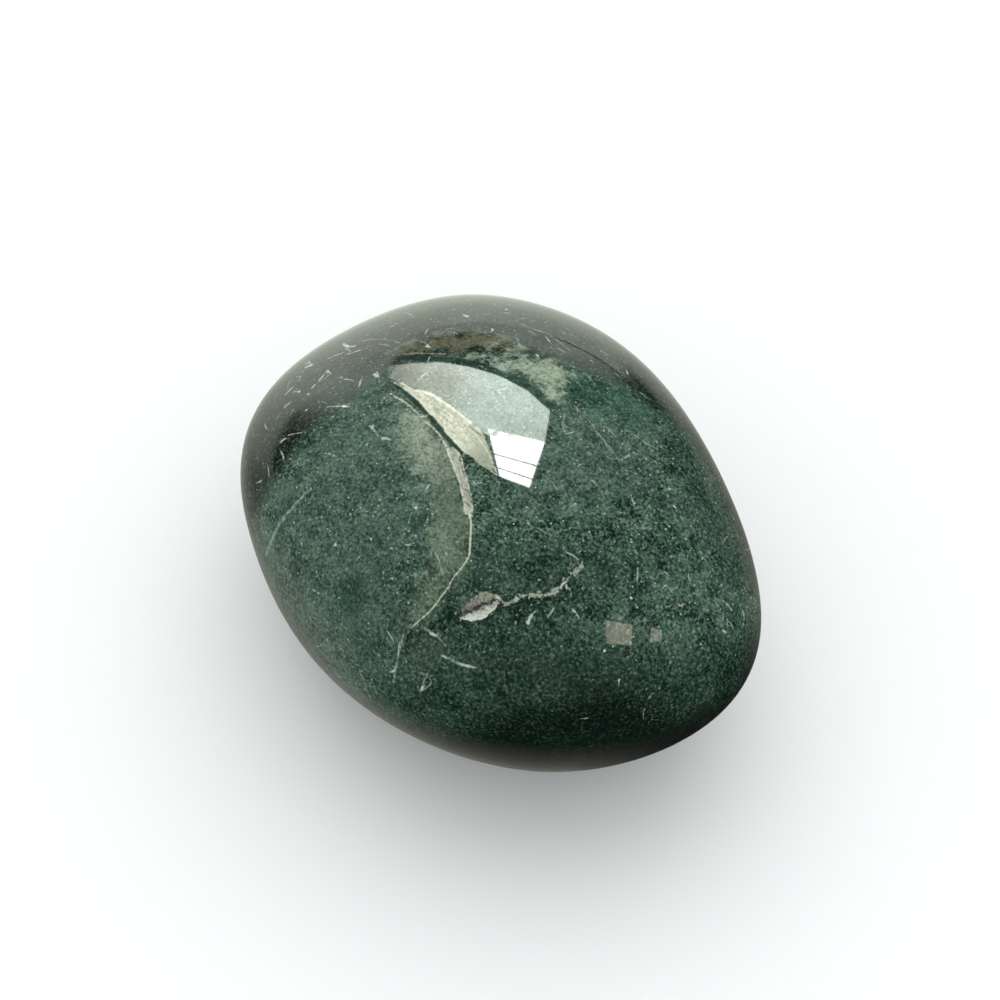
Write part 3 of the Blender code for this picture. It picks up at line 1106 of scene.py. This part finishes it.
def patch_mask(tree, depth, wander, reach, softness):
    """Where a patch shows: inside its outline, which wanders with a noise and has a soft edge."""
    moved = add_node(tree, "Math", (wander, reach, depth), operation="MULTIPLY_ADD")
    return add_node(tree, "MapRange", (moved, -softness, softness), interpolation_type="SMOOTHSTEP")


def tint_over(tree, below, tint, mask, strength=1.0):
    """The colour below with a tint laid over it where a mask shows, as strong as is asked."""
    share = product(tree, mask, strength)
    return add_node(tree, "Mix", {0: share, 6: below, 7: tint}, data_type="RGBA").outputs[2]


def lay_patch_tints(tree, colour, patches, wander, grainy):
    """The colour with the tints of a table of patches laid over it, uneven from grain to grain."""
    for name, _, tint, softness, reach, strength in patches:
        depth = add_node(tree, "Attribute", attribute_name=name).outputs["Fac"]
        inside = patch_mask(tree, depth, wander, reach, softness)
        colour = tint_over(tree, colour, tint, product(tree, inside, grainy), strength)
    return colour


def lay_specks(tree, colour, place, grainy):
    """The colour with bright mica specks and dark hornblende dots laid over it."""
    for scale, radius, share, tint, strength in SPECKS:
        dots = add_node(tree, "TexVoronoi", {"Vector": place, "Scale": scale})
        chance = add_node(tree, "SeparateColor", (dots.outputs["Color"],)).outputs[1]
        size = add_node(tree, "MapRange", (chance, 1 - share, 1.0, radius * scale / 2, radius * scale))
        inside = add_node(tree, "Math", (size, dots.outputs["Distance"]), operation="SUBTRACT")
        mask = add_node(tree, "MapRange", (inside, -SPECK_SOFTNESS, SPECK_SOFTNESS))
        shown = add_node(tree, "Math", (chance, 1 - share), operation="GREATER_THAN")
        colour = tint_over(tree, colour, tint, product(tree, mask, shown, grainy), strength)
    return colour


def lay_cleft(tree, colour, wander, crumbs):
    """The colour with the cleft's sliver and wing laid over it, which have streaks along them."""
    # The wing's cream is partly a painted reflection of the window
    for name, tint, streak, tip, stretch in CLEFT_PARTS:
        depth, along, across = layer_parts(tree, name)
        course = add_node(tree, "CombineXYZ", (product(tree, along, 1 / stretch), across))
        streaks = add_node(
            tree, "TexNoise", {"Vector": course, "Scale": STREAK_SCALE, "Detail": 4, "Roughness": 0.7},
        )
        uneven = add_node(tree, "Math", (crumbs, CRUMBS_IN_STREAKS, streaks), operation="MULTIPLY_ADD")
        ground = tint_over(tree, tint, tip, add_node(tree, "MapRange", (along, *TIP_TONES)))
        tone = tint_over(tree, ground, streak, add_node(tree, "MapRange", (uneven, *STREAK_TONES)))
        ragged = patch_mask(tree, depth, wander, CLEFT_WANDER, EDGE_SOFTNESS * 2)
        colour = tint_over(tree, colour, tone, ragged, strength=0.95)
    return colour


def lay_lines(tree, colour, names, strands, grain):
    """The colour with the lines and the glinting ticks laid over it."""
    ragged = add_node(tree, "MapRange", (strands, *LINE_RAGGEDNESS))
    gaps = add_node(tree, "MapRange", (grain, *LINE_GAPS))
    for kind, _, tint, strength, reach in LINE_KINDS:
        mask = joined_mask(tree, [band_mask(tree, name, ragged, reach) for name in names[kind]])
        colour = tint_over(tree, colour, tint, product(tree, mask, gaps), strength)
    glints = joined_mask(tree, [fleck_mask(tree, name, ragged) for name in names["fleck"]])
    return tint_over(tree, colour, WHITE_GLINT, glints, strength=0.85)


def polished_moss_agate(settings, names):
    """Moss agate, tumbled to a wet polish. Chalcedony is a fine quartz, glassy at the surface.

    Just under the polish the eye sees the green mineral as a dense felt of pale flecks and dark
    grains a fifth of a millimetre wide, with paler clouds, and clear dark stone without grains at
    the rim. Healed cracks show as cream, white and dark lines and glinting ticks. Painted into the
    colour as well are shade on the lower side and under a vein, and, as painted reflections, the
    window's dark frame, a brown strip and part of the cream wing's brightness.
    """
    material, tree = new_material("tumble_polished_moss_agate")
    place = place_in_millimetres(tree)
    grain_scale = MM / settings.grain_size

    # Noises, and what is made of them
    clouds = add_node(
        tree, "TexNoise", {"Vector": place, "Scale": CLOUD_SCALE, "Detail": 3, "Roughness": 0.55},
    )
    mottle = add_node(
        tree, "TexNoise", {"Vector": place, "Scale": MOTTLE_SCALE, "Detail": 3, "Roughness": 0.65},
    )
    grain = add_node(
        tree, "TexNoise",
        {"Vector": place, "Scale": grain_scale, "Detail": 1.5, "Roughness": 0.6, "Distortion": 0.3},
    )
    strands = add_node(
        tree, "TexNoise",
        {"Vector": place, "Scale": grain_scale * STRAND_SCALE, "Detail": 1, "Distortion": 0.8},
    )
    aside = add_node(tree, "VectorMath", (place, CRUMB_SHIFT), operation="ADD")
    crumbs = add_node(
        tree, "TexNoise",
        {"Vector": aside, "Scale": grain_scale * CRUMB_SCALE, "Detail": 2, "Roughness": 0.6},
    )
    wander = add_node(tree, "MapRange", (mottle, *EDGE_WANDER), clamp=False)
    on_pale = add_node(tree, "MapRange", (grain, *GRAIN_ON_PALE))
    on_dark = add_node(tree, "MapRange", (grain, *GRAIN_ON_DARK))

    # The grainy green body, from its darkest to its palest grains
    lifted = add_node(tree, "Math", (mottle, MOTTLE_IN_GRAIN, grain), operation="MULTIPLY_ADD")
    low = add_node(tree, "MapRange", (lifted, *GREEN_TONES))
    colour = tint_over(tree, DARK_GREEN, MID_GREEN, low)
    cloudy = add_node(tree, "MapRange", (clouds, *CLOUD_TONES), interpolation_type="SMOOTHSTEP")
    colour = tint_over(tree, colour, CLOUD_GREEN, cloudy, strength=0.30)
    hollow = add_node(tree, "MapRange", (clouds, *HOLLOW_TONES), interpolation_type="SMOOTHSTEP")
    colour = tint_over(tree, colour, DARK_GREEN, hollow, strength=0.38)
    off_line = add_node(tree, "Math", (strands, 0.5), operation="SUBTRACT")
    off_line = add_node(tree, "Math", (off_line,), operation="ABSOLUTE")
    line = add_node(tree, "MapRange", (off_line, *STRAND_TONES))
    pale = add_node(tree, "MapRange", (crumbs, *CRUMB_TONES))
    felt = joined_mask(tree, (product(tree, line, STRAND_STRENGTH), pale))
    felt = product(tree, felt, add_node(tree, "MapRange", (lifted, *FELT_TONES)))
    colour = tint_over(tree, colour, SAGE, felt, strength=0.54)
    colour = lay_patch_tints(tree, colour, DEEP_PATCHES, wander, on_pale)
    colour = tint_over(tree, colour, SAGE, felt, strength=0.20)

    # The clear rim, with faint crumbs in it
    inward = add_node(tree, "Attribute", attribute_name="grain").outputs["Fac"]
    rim = patch_mask(tree, product(tree, inward, -1.0), wander, RIM_WANDER, RIM_SOFTNESS)
    clear_tone = tint_over(tree, CLEAR_DARK, CLEAR_GREY, cloudy)
    colour = tint_over(tree, colour, clear_tone, rim, strength=0.9)
    colour = tint_over(tree, colour, SAGE, product(tree, pale, rim), strength=0.14)

    # The specks, fainter in the clear rim, and over them the patches, the cleft and the lines
    grainy = add_node(tree, "MapRange", (rim, 0.0, 1.0, 1.0, RIM_SPECKS))
    colour = lay_specks(tree, colour, place, grainy)
    colour = lay_patch_tints(tree, colour, DARK_PATCHES_AND_SHADE, wander, on_dark)
    colour = lay_patch_tints(tree, colour, PALE_PATCHES, wander, on_pale)
    colour = lay_cleft(tree, colour, wander, crumbs)
    colour = lay_lines(tree, colour, names, strands, grain)
    inputs = {"Base Color": colour, "Roughness": settings.polish, "IOR": CHALCEDONY_IOR}
    add_surface(tree, "BsdfPrincipled", inputs)
    return material


def crumbly_break():
    """Unpolished quartz in the pit's floor: frosted grains in cream, grey and brown, with painted light
    on the slope toward the window and painted shade in its slit.
    """
    material, tree = new_material("crumbly_unpolished_quartz")
    place = place_in_millimetres(tree)
    lumps = add_node(tree, "TexNoise", {"Vector": place, "Scale": 4.2, "Detail": 3, "Roughness": 0.75})
    fine = add_node(tree, "TexNoise", {"Vector": place, "Scale": 7.0, "Detail": 2, "Roughness": 0.6})
    frost = add_node(tree, "TexVoronoi", {"Vector": place, "Scale": 5.5}).outputs["Distance"]
    side = add_node(tree, "Attribute", attribute_name="pit_side").outputs["Fac"]
    lit_slope = add_node(tree, "Math", (lumps, LUMPS_IN_LIT_SLOPE, side), operation="MULTIPLY_ADD")
    off_slit = add_node(tree, "Math", (side, SLIT_ASIDE), operation="ADD")
    off_slit = add_node(tree, "Math", (off_slit,), operation="ABSOLUTE")
    rise = add_node(tree, "Math", (off_slit, SLIT_STEEPNESS, lumps), operation="MULTIPLY_ADD")
    colour = PIT_BROWN
    for tint, value, tones, strength in (
        (PIT_GREY, lumps, GREY_CRUMB_TONES, 0.9),
        (PIT_LIT_CREAM, lit_slope, LIT_SIDE_TONES, 1.0),
        (PIT_BROWN, fine, DIRT_TONES, 0.5),
        (PIT_FROST, frost, FROST_TONES, 0.40),
        (PIT_SHADE_DARK, rise, SLIT_SHADE_TONES, 0.9),
    ):
        mask = add_node(tree, "MapRange", (value, *tones))
        colour = tint_over(tree, colour, tint, mask, strength)
    bump = add_node(tree, "Bump", {"Height": fine, "Strength": 0.5, "Distance": BUMP_HEIGHT})
    inputs = {"Base Color": colour, "Roughness": 0.42, "IOR": CHALCEDONY_IOR, "Normal": bump}
    add_surface(tree, "BsdfPrincipled", inputs)
    return material


def mirrored_way(surface, x, y):
    """The point under a pixel, and the way that a look at it is mirrored."""
    point, normal = surface.under_pixel(x, y)
    sight = (point - CAMERA_PLACE).normalized()
    return point, sight - normal * (2 * sight.dot(normal))


def mirrored(surface, x, y, card_way):
    """Where the stone mirrors a pixel to, on the plane of a light card."""
    point, way = mirrored_way(surface, x, y)
    middle = STONE_MIDDLE + card_way * CARD_DISTANCE
    return point + way * ((middle - point).dot(card_way) / way.dot(card_way))


def line_point(line, share):
    """The place a share of the way along a line of pixels."""
    ends = np.array(line, float)
    runs = np.concatenate(([0], np.cumsum(np.hypot(*np.diff(ends, axis=0).T))))
    return [float(np.interp(share * runs[-1], runs, ends[:, axis])) for axis in (0, 1)]


def add_card(surface, name, top, foot, tint, strength=1.0, drops=(0, 1), card_way=CARD_WAY):
    """A glowing card whose mirror image on the stone lies between two lines of pixels.

    The drops say which part of the way down between the lines it takes.
    """
    grid = bpy.ops.mesh.primitive_grid_add
    card = add_object(grid, name, x_subdivisions=24, y_subdivisions=4, size=2)
    start, end = drops
    for vertex in card.data.vertices:
        share = (vertex.co.x + 1) / 2
        drop = start + (end - start) * (1 - vertex.co.y) / 2
        high = line_point(top, share)
        low = line_point(foot, share)
        vertex.co = mirrored(surface, *(a + (b - a) * drop for a, b in zip(high, low)), card_way)
    material, tree = new_material(name)
    light = add_surface(tree, "Emission", {"Color": tint, "Strength": strength})
    material.cycles.emission_sampling = "NONE"
    card.data.materials.append(material)
    hide_from(card, "camera", "diffuse", "shadow")
    return tree, light


def card_places(tree):
    """How far along and up a card each of its places lies, from 0 to 1."""
    return add_node(tree, "SeparateXYZ", (add_node(tree, "UVMap", uv_map="UVMap"),)).outputs


def add_room_wall(surface, settings):
    """The wall round the window, which fades out at both ends and toward its foot."""
    tree, light = add_card(surface, "room_wall", ROOM_WALL_TOP, ROOM_WALL_FOOT, WALL_TINT)
    along, up, _ = card_places(tree)
    left = add_node(tree, "MapRange", (along, *WALL_LEFT_END), interpolation_type="SMOOTHSTEP")
    right = add_node(tree, "MapRange", (along, *WALL_RIGHT_END), interpolation_type="SMOOTHSTEP")
    inward = add_node(tree, "Math", (along, 0.5), operation="PINGPONG")
    fade = add_node(tree, "MapRange", (inward, *WALL_FOOT_FADE))
    foot = add_node(tree, "MapRange", (up, 0.0, fade), interpolation_type="SMOOTHSTEP")
    glow = product(tree, left, right, foot, settings.wall_glow)
    tree.links.new(glow.outputs[0], light.inputs["Strength"])


def add_curtained_pane(surface, settings):
    """The window's pane with a curtain, which is dim and brownish at one end and has folds."""
    tree, light = add_card(surface, "curtained_pane", PANE_TOP, PANE_FOOT, CURTAIN_TINT)
    along, up, _ = card_places(tree)
    share = add_node(tree, "MapRange", (along, *CURTAIN_DIM_END))
    dim_glow = settings.pane_glow * CURTAIN_DIM_GLOW
    glow = add_node(tree, "MapRange", (share, 0.0, 1.0, dim_glow, settings.pane_glow))
    folded = add_node(tree, "CombineXYZ", (along, up))
    folded = add_node(tree, "VectorMath", (folded, CURTAIN_FOLDS), operation="MULTIPLY")
    cloth = add_node(tree, "TexNoise", {"Vector": folded, "Scale": 1.0, "Detail": 3})
    glow = product(tree, glow, add_node(tree, "MapRange", (cloth, *CURTAIN_TONES)))
    tree.links.new(glow.outputs[0], light.inputs["Strength"])
    tree.links.new(tint_over(tree, CURTAIN_DIM_TINT, CURTAIN_TINT, share), light.inputs["Color"])


def add_window(surface, settings):
    """The window's panes, the wall round it and two small bright things in the room."""
    add_room_wall(surface, settings)
    add_curtained_pane(surface, settings)
    glow = settings.pane_glow * BARE_PANE_GLOW
    for start, end in zip(SLATS, SLATS[1:]):
        drops = (start + SLAT_GAP / 2, end - SLAT_GAP / 2)
        add_card(surface, "bare_pane", *BARE_PANE, DAY_TINT, glow, drops)
    glow = settings.pane_glow * SMALL_CARD_GLOW
    for top, foot in SMALL_CARDS:
        _, way = mirrored_way(surface, *top[0])
        add_card(surface, "far_card", top, foot, BEIGE_TINT, glow, card_way=way)


def pale_matt_card(settings):
    """Card painted nearly white: matt, with hardly a gloss."""
    material, tree = new_material("pale_matt_card")
    colour = tuple(settings.floor_colour) + (1.0,)
    inputs = {"Base Color": colour, "Roughness": 0.9, "Specular IOR Level": 0.2}
    add_surface(tree, "BsdfPrincipled", inputs)
    return material


def mirrored_floor_glow():
    """What the polish mirrors of the floor: its brightness with the distance and the side."""
    material, tree = new_material("mirrored_floor")
    held = add_node(tree, "TexCoord").outputs["Object"]
    far = add_node(tree, "VectorMath", (held,), operation="LENGTH").outputs["Value"]
    way = add_node(tree, "VectorMath", (held,), operation="NORMALIZE")
    facing, away = (
        add_node(tree, "VectorMath", (way, side), operation="DOT_PRODUCT").outputs["Value"]
        for side in (BRIGHT_WAY, DARK_WAY)
    )
    turned = add_node(tree, "MapRange", (facing, *BRIGHT_SIDE))
    turned = add_node(tree, "Math", (turned, BRIGHT_SIDE_POWER), operation="POWER")
    toward = add_node(tree, "MapRange", (turned, 0.0, 1.0, *BRIGHT_SIDE_GLOW))
    shade = add_node(tree, "MapRange", (away, *DARK_SIDE))
    open_side = add_node(tree, "MapRange", (facing, *OPEN_SIDE), interpolation_type="SMOOTHSTEP")
    rise = add_node(tree, "MapRange", (far, *NEAR_RISE))
    start = add_node(tree, "MapRange", (facing, *FALL_START))
    end = add_node(tree, "MapRange", (facing, *FALL_END))
    fall = add_node(tree, "MapRange", (far, start, end, 1.0, FALL_GLOW))
    glow = product(tree, rise, joined_mask(tree, (fall, open_side)), toward, shade)
    for heading, (edge, heart), (near, off), share in FAR_PAINTED_DARKS:
        seen = (math.cos(heading), math.sin(heading), 0.0)
        beside = add_node(tree, "VectorMath", (way, seen), operation="DOT_PRODUCT").outputs["Value"]
        dim = add_node(tree, "MapRange", (beside, edge, heart))
        beyond = add_node(tree, "MapRange", (far, near, off, 0.0, -share))
        glow = product(tree, glow, add_node(tree, "Math", (dim, beyond, 1.0), operation="MULTIPLY_ADD"))
    tint = tint_over(tree, WARM_FLOOR_TINT, GREEN_FLOOR_TINT, open_side)
    add_surface(tree, "Emission", {"Color": tint, "Strength": glow})
    material.cycles.emission_sampling = "NONE"
    return material


def add_floor(settings):
    """A plain pale floor, and under it a darker one that only the stone's polish mirrors."""
    plane = bpy.ops.mesh.primitive_plane_add
    size = settings.floor_size
    floor = add_object(plane, "floor", size=size)
    floor.data.materials.append(pale_matt_card(settings))
    hide_from(floor, "glossy")
    mirrored_floor = add_object(plane, "mirrored_floor", size=size, location=(0, 0, -FLOOR_GAP))
    mirrored_floor.data.materials.append(mirrored_floor_glow())
    hide_from(mirrored_floor, "camera", "diffuse", "transmission", "volume_scatter", "shadow")


def add_fill(settings):
    """A large soft light overhead, which the polish doesn't mirror."""
    fill = add_object(bpy.ops.object.light_add, "overhead_softbox", type="AREA", location=FILL_PLACE)
    fill.data.shape = "SQUARE"
    fill.data.size = FILL_SIZE
    fill.data.energy = settings.fill_power
    fill.rotation_euler = (fill.location - STONE_MIDDLE).to_track_quat("Z", "Y").to_euler()
    hide_from(fill, "glossy")


def add_camera():
    """The camera where the photographer stood."""
    data = bpy.data.cameras.new("photo_camera")
    data.sensor_width = SENSOR_WIDTH
    data.lens = SENSOR_WIDTH * FOCAL_PIXELS / PHOTO_PIXELS
    data.clip_start = 0.01
    camera = bpy.data.objects.new("photo_camera", data)
    bpy.context.scene.collection.objects.link(camera)
    turn = Matrix((RIGHT, UP, BACK)).transposed().to_4x4()
    camera.matrix_world = Matrix.Translation(CAMERA_PLACE) @ turn
    bpy.context.scene.camera = camera


def add_room():
    """The air round the stage: pale to the eye, dim to the polish, and soft as light."""
    world = bpy.data.worlds.new("studio")
    bpy.context.scene.world = world
    world.use_nodes = True
    tree = world.node_tree
    tree.nodes.clear()
    rays = add_node(tree, "LightPath").outputs
    dim = add_node(tree, "MapRange", (rays["Is Glossy Ray"], 0.0, 1.0, ROOM_LIGHT, ROOM_GLOSS))
    seen = add_node(tree, "Mix", {0: rays["Is Camera Ray"], 2: dim, 3: ROOM_SEEN})
    air = add_node(tree, "Background", {"Color": AIR_TINT, "Strength": seen})
    add_node(tree, "OutputWorld", (air,))
    bpy.context.scene.view_settings.view_transform = "Standard"


class StoneSettings(bpy.types.PropertyGroup):
    """Sizes and finish of the stone."""

    patch_rows: bpy.props.IntProperty(
        name="Patch rows", description="Square patches along each side of the body's first block",
        default=15, min=6, max=30,
    )
    fineness: bpy.props.IntProperty(
        name="Fineness", description="How many times each patch is divided to smooth the body",
        default=3, min=1, max=4,
    )
    foot_softness: bpy.props.FloatProperty(
        name="Foot softness", description="Height below which the underside is pressed flat",
        default=0.04 * MM, unit="LENGTH", precision=5,
    )
    pit_width: bpy.props.FloatProperty(
        name="Pit width", description="Width of the open pit",
        default=1.35 * MM, unit="LENGTH", precision=5,
    )
    pit_depth: bpy.props.FloatProperty(
        name="Pit depth", description="Depth of the open pit",
        default=0.35 * MM, unit="LENGTH", precision=5,
    )
    grain_size: bpy.props.FloatProperty(
        name="Grain size", description="Width of one green grain",
        default=0.20 * MM, unit="LENGTH", precision=5,
    )
    polish: bpy.props.FloatProperty(
        name="Polish", description="Roughness left by the tumbler's last polish",
        default=0.04, min=0, max=1,
    )


class StageSettings(bpy.types.PropertyGroup):
    """Sizes and lights of the studio."""

    floor_size: bpy.props.FloatProperty(
        name="Floor size", description="Length of the floor's sides", default=2.4, unit="LENGTH",
    )
    floor_colour: bpy.props.FloatVectorProperty(
        name="Floor colour", description="Colour of the plain floor",
        default=linear("#fcfdfd")[:3], subtype="COLOR",
    )
    pane_glow: bpy.props.FloatProperty(
        name="Window glow", description="Brightness of the curtained pane", default=13.0, min=0,
    )
    wall_glow: bpy.props.FloatProperty(
        name="Wall glow", description="Brightness of the wall round the window", default=1.3, min=0,
    )
    fill_power: bpy.props.FloatProperty(
        name="Fill power", description="Power of the soft overhead light",
        default=1.0, min=0, unit="POWER",
    )


class AddPolishedStone(bpy.types.Operator):
    """Adds the polished pebble, with its pit and its markings, in place of its plain solid"""

    bl_idname = "mesh.add_moss_agate_stone"
    bl_label = "Add moss agate stone"
    bl_options = {"REGISTER", "UNDO"}

    def execute(self, context):
        settings = context.scene.tumbled_stone
        body = add_body(settings)
        surface = Surface(body)
        cutter = add_pit_cutter(settings, surface)
        cutter.data.materials.append(crumbly_break())
        cut_pit(body, cutter)
        lay_patches(body)
        names = lay_marks(body, surface)
        body.data.materials[0] = polished_moss_agate(settings, names)
        only(body)
        bpy.ops.object.shade_smooth_by_angle(angle=SHARP_ANGLE)
        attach(body, "root")
        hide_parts("stone")
        return {"FINISHED"}


class AddStage(bpy.types.Operator):
    """Adds the pale floor, the window, the soft overhead light, the room and the camera"""

    bl_idname = "scene.add_stone_stage"
    bl_label = "Add stage"
    bl_options = {"REGISTER", "UNDO"}

    def execute(self, context):
        settings = context.scene.stone_stage
        surface = Surface(bpy.data.objects["moss_agate_stone"])
        add_floor(settings)
        add_window(surface, settings)
        add_fill(settings)
        add_room()
        add_camera()
        return {"FINISHED"}


class TumbledStonePanel(bpy.types.Panel):
    """Lists the stone, the stage and their settings in the sidebar"""

    bl_idname = "VIEW3D_PT_tumbled_stone"
    bl_label = "Tumbled stone"
    bl_space_type = "VIEW_3D"
    bl_region_type = "UI"
    bl_category = "Tumbled stone"

    def draw(self, context):
        for operator, settings in (
            (AddPolishedStone, context.scene.tumbled_stone),
            (AddStage, context.scene.stone_stage),
        ):
            box = self.layout.box()
            box.operator(operator.bl_idname)
            for name in settings.__annotations__:
                box.prop(settings, name)


CLASSES = (StoneSettings, StageSettings, AddPolishedStone, AddStage, TumbledStonePanel)


def register():
    for each in CLASSES:
        bpy.utils.register_class(each)
    bpy.types.Scene.tumbled_stone = bpy.props.PointerProperty(type=StoneSettings)
    bpy.types.Scene.stone_stage = bpy.props.PointerProperty(type=StageSettings)


def unregister():
    del bpy.types.Scene.stone_stage
    del bpy.types.Scene.tumbled_stone
    for each in reversed(CLASSES):
        bpy.utils.unregister_class(each)


def main():
    register()
    bpy.ops.mesh.add_moss_agate_stone()
    bpy.ops.scene.add_stone_stage()


if __name__ == "__main__":
    main()
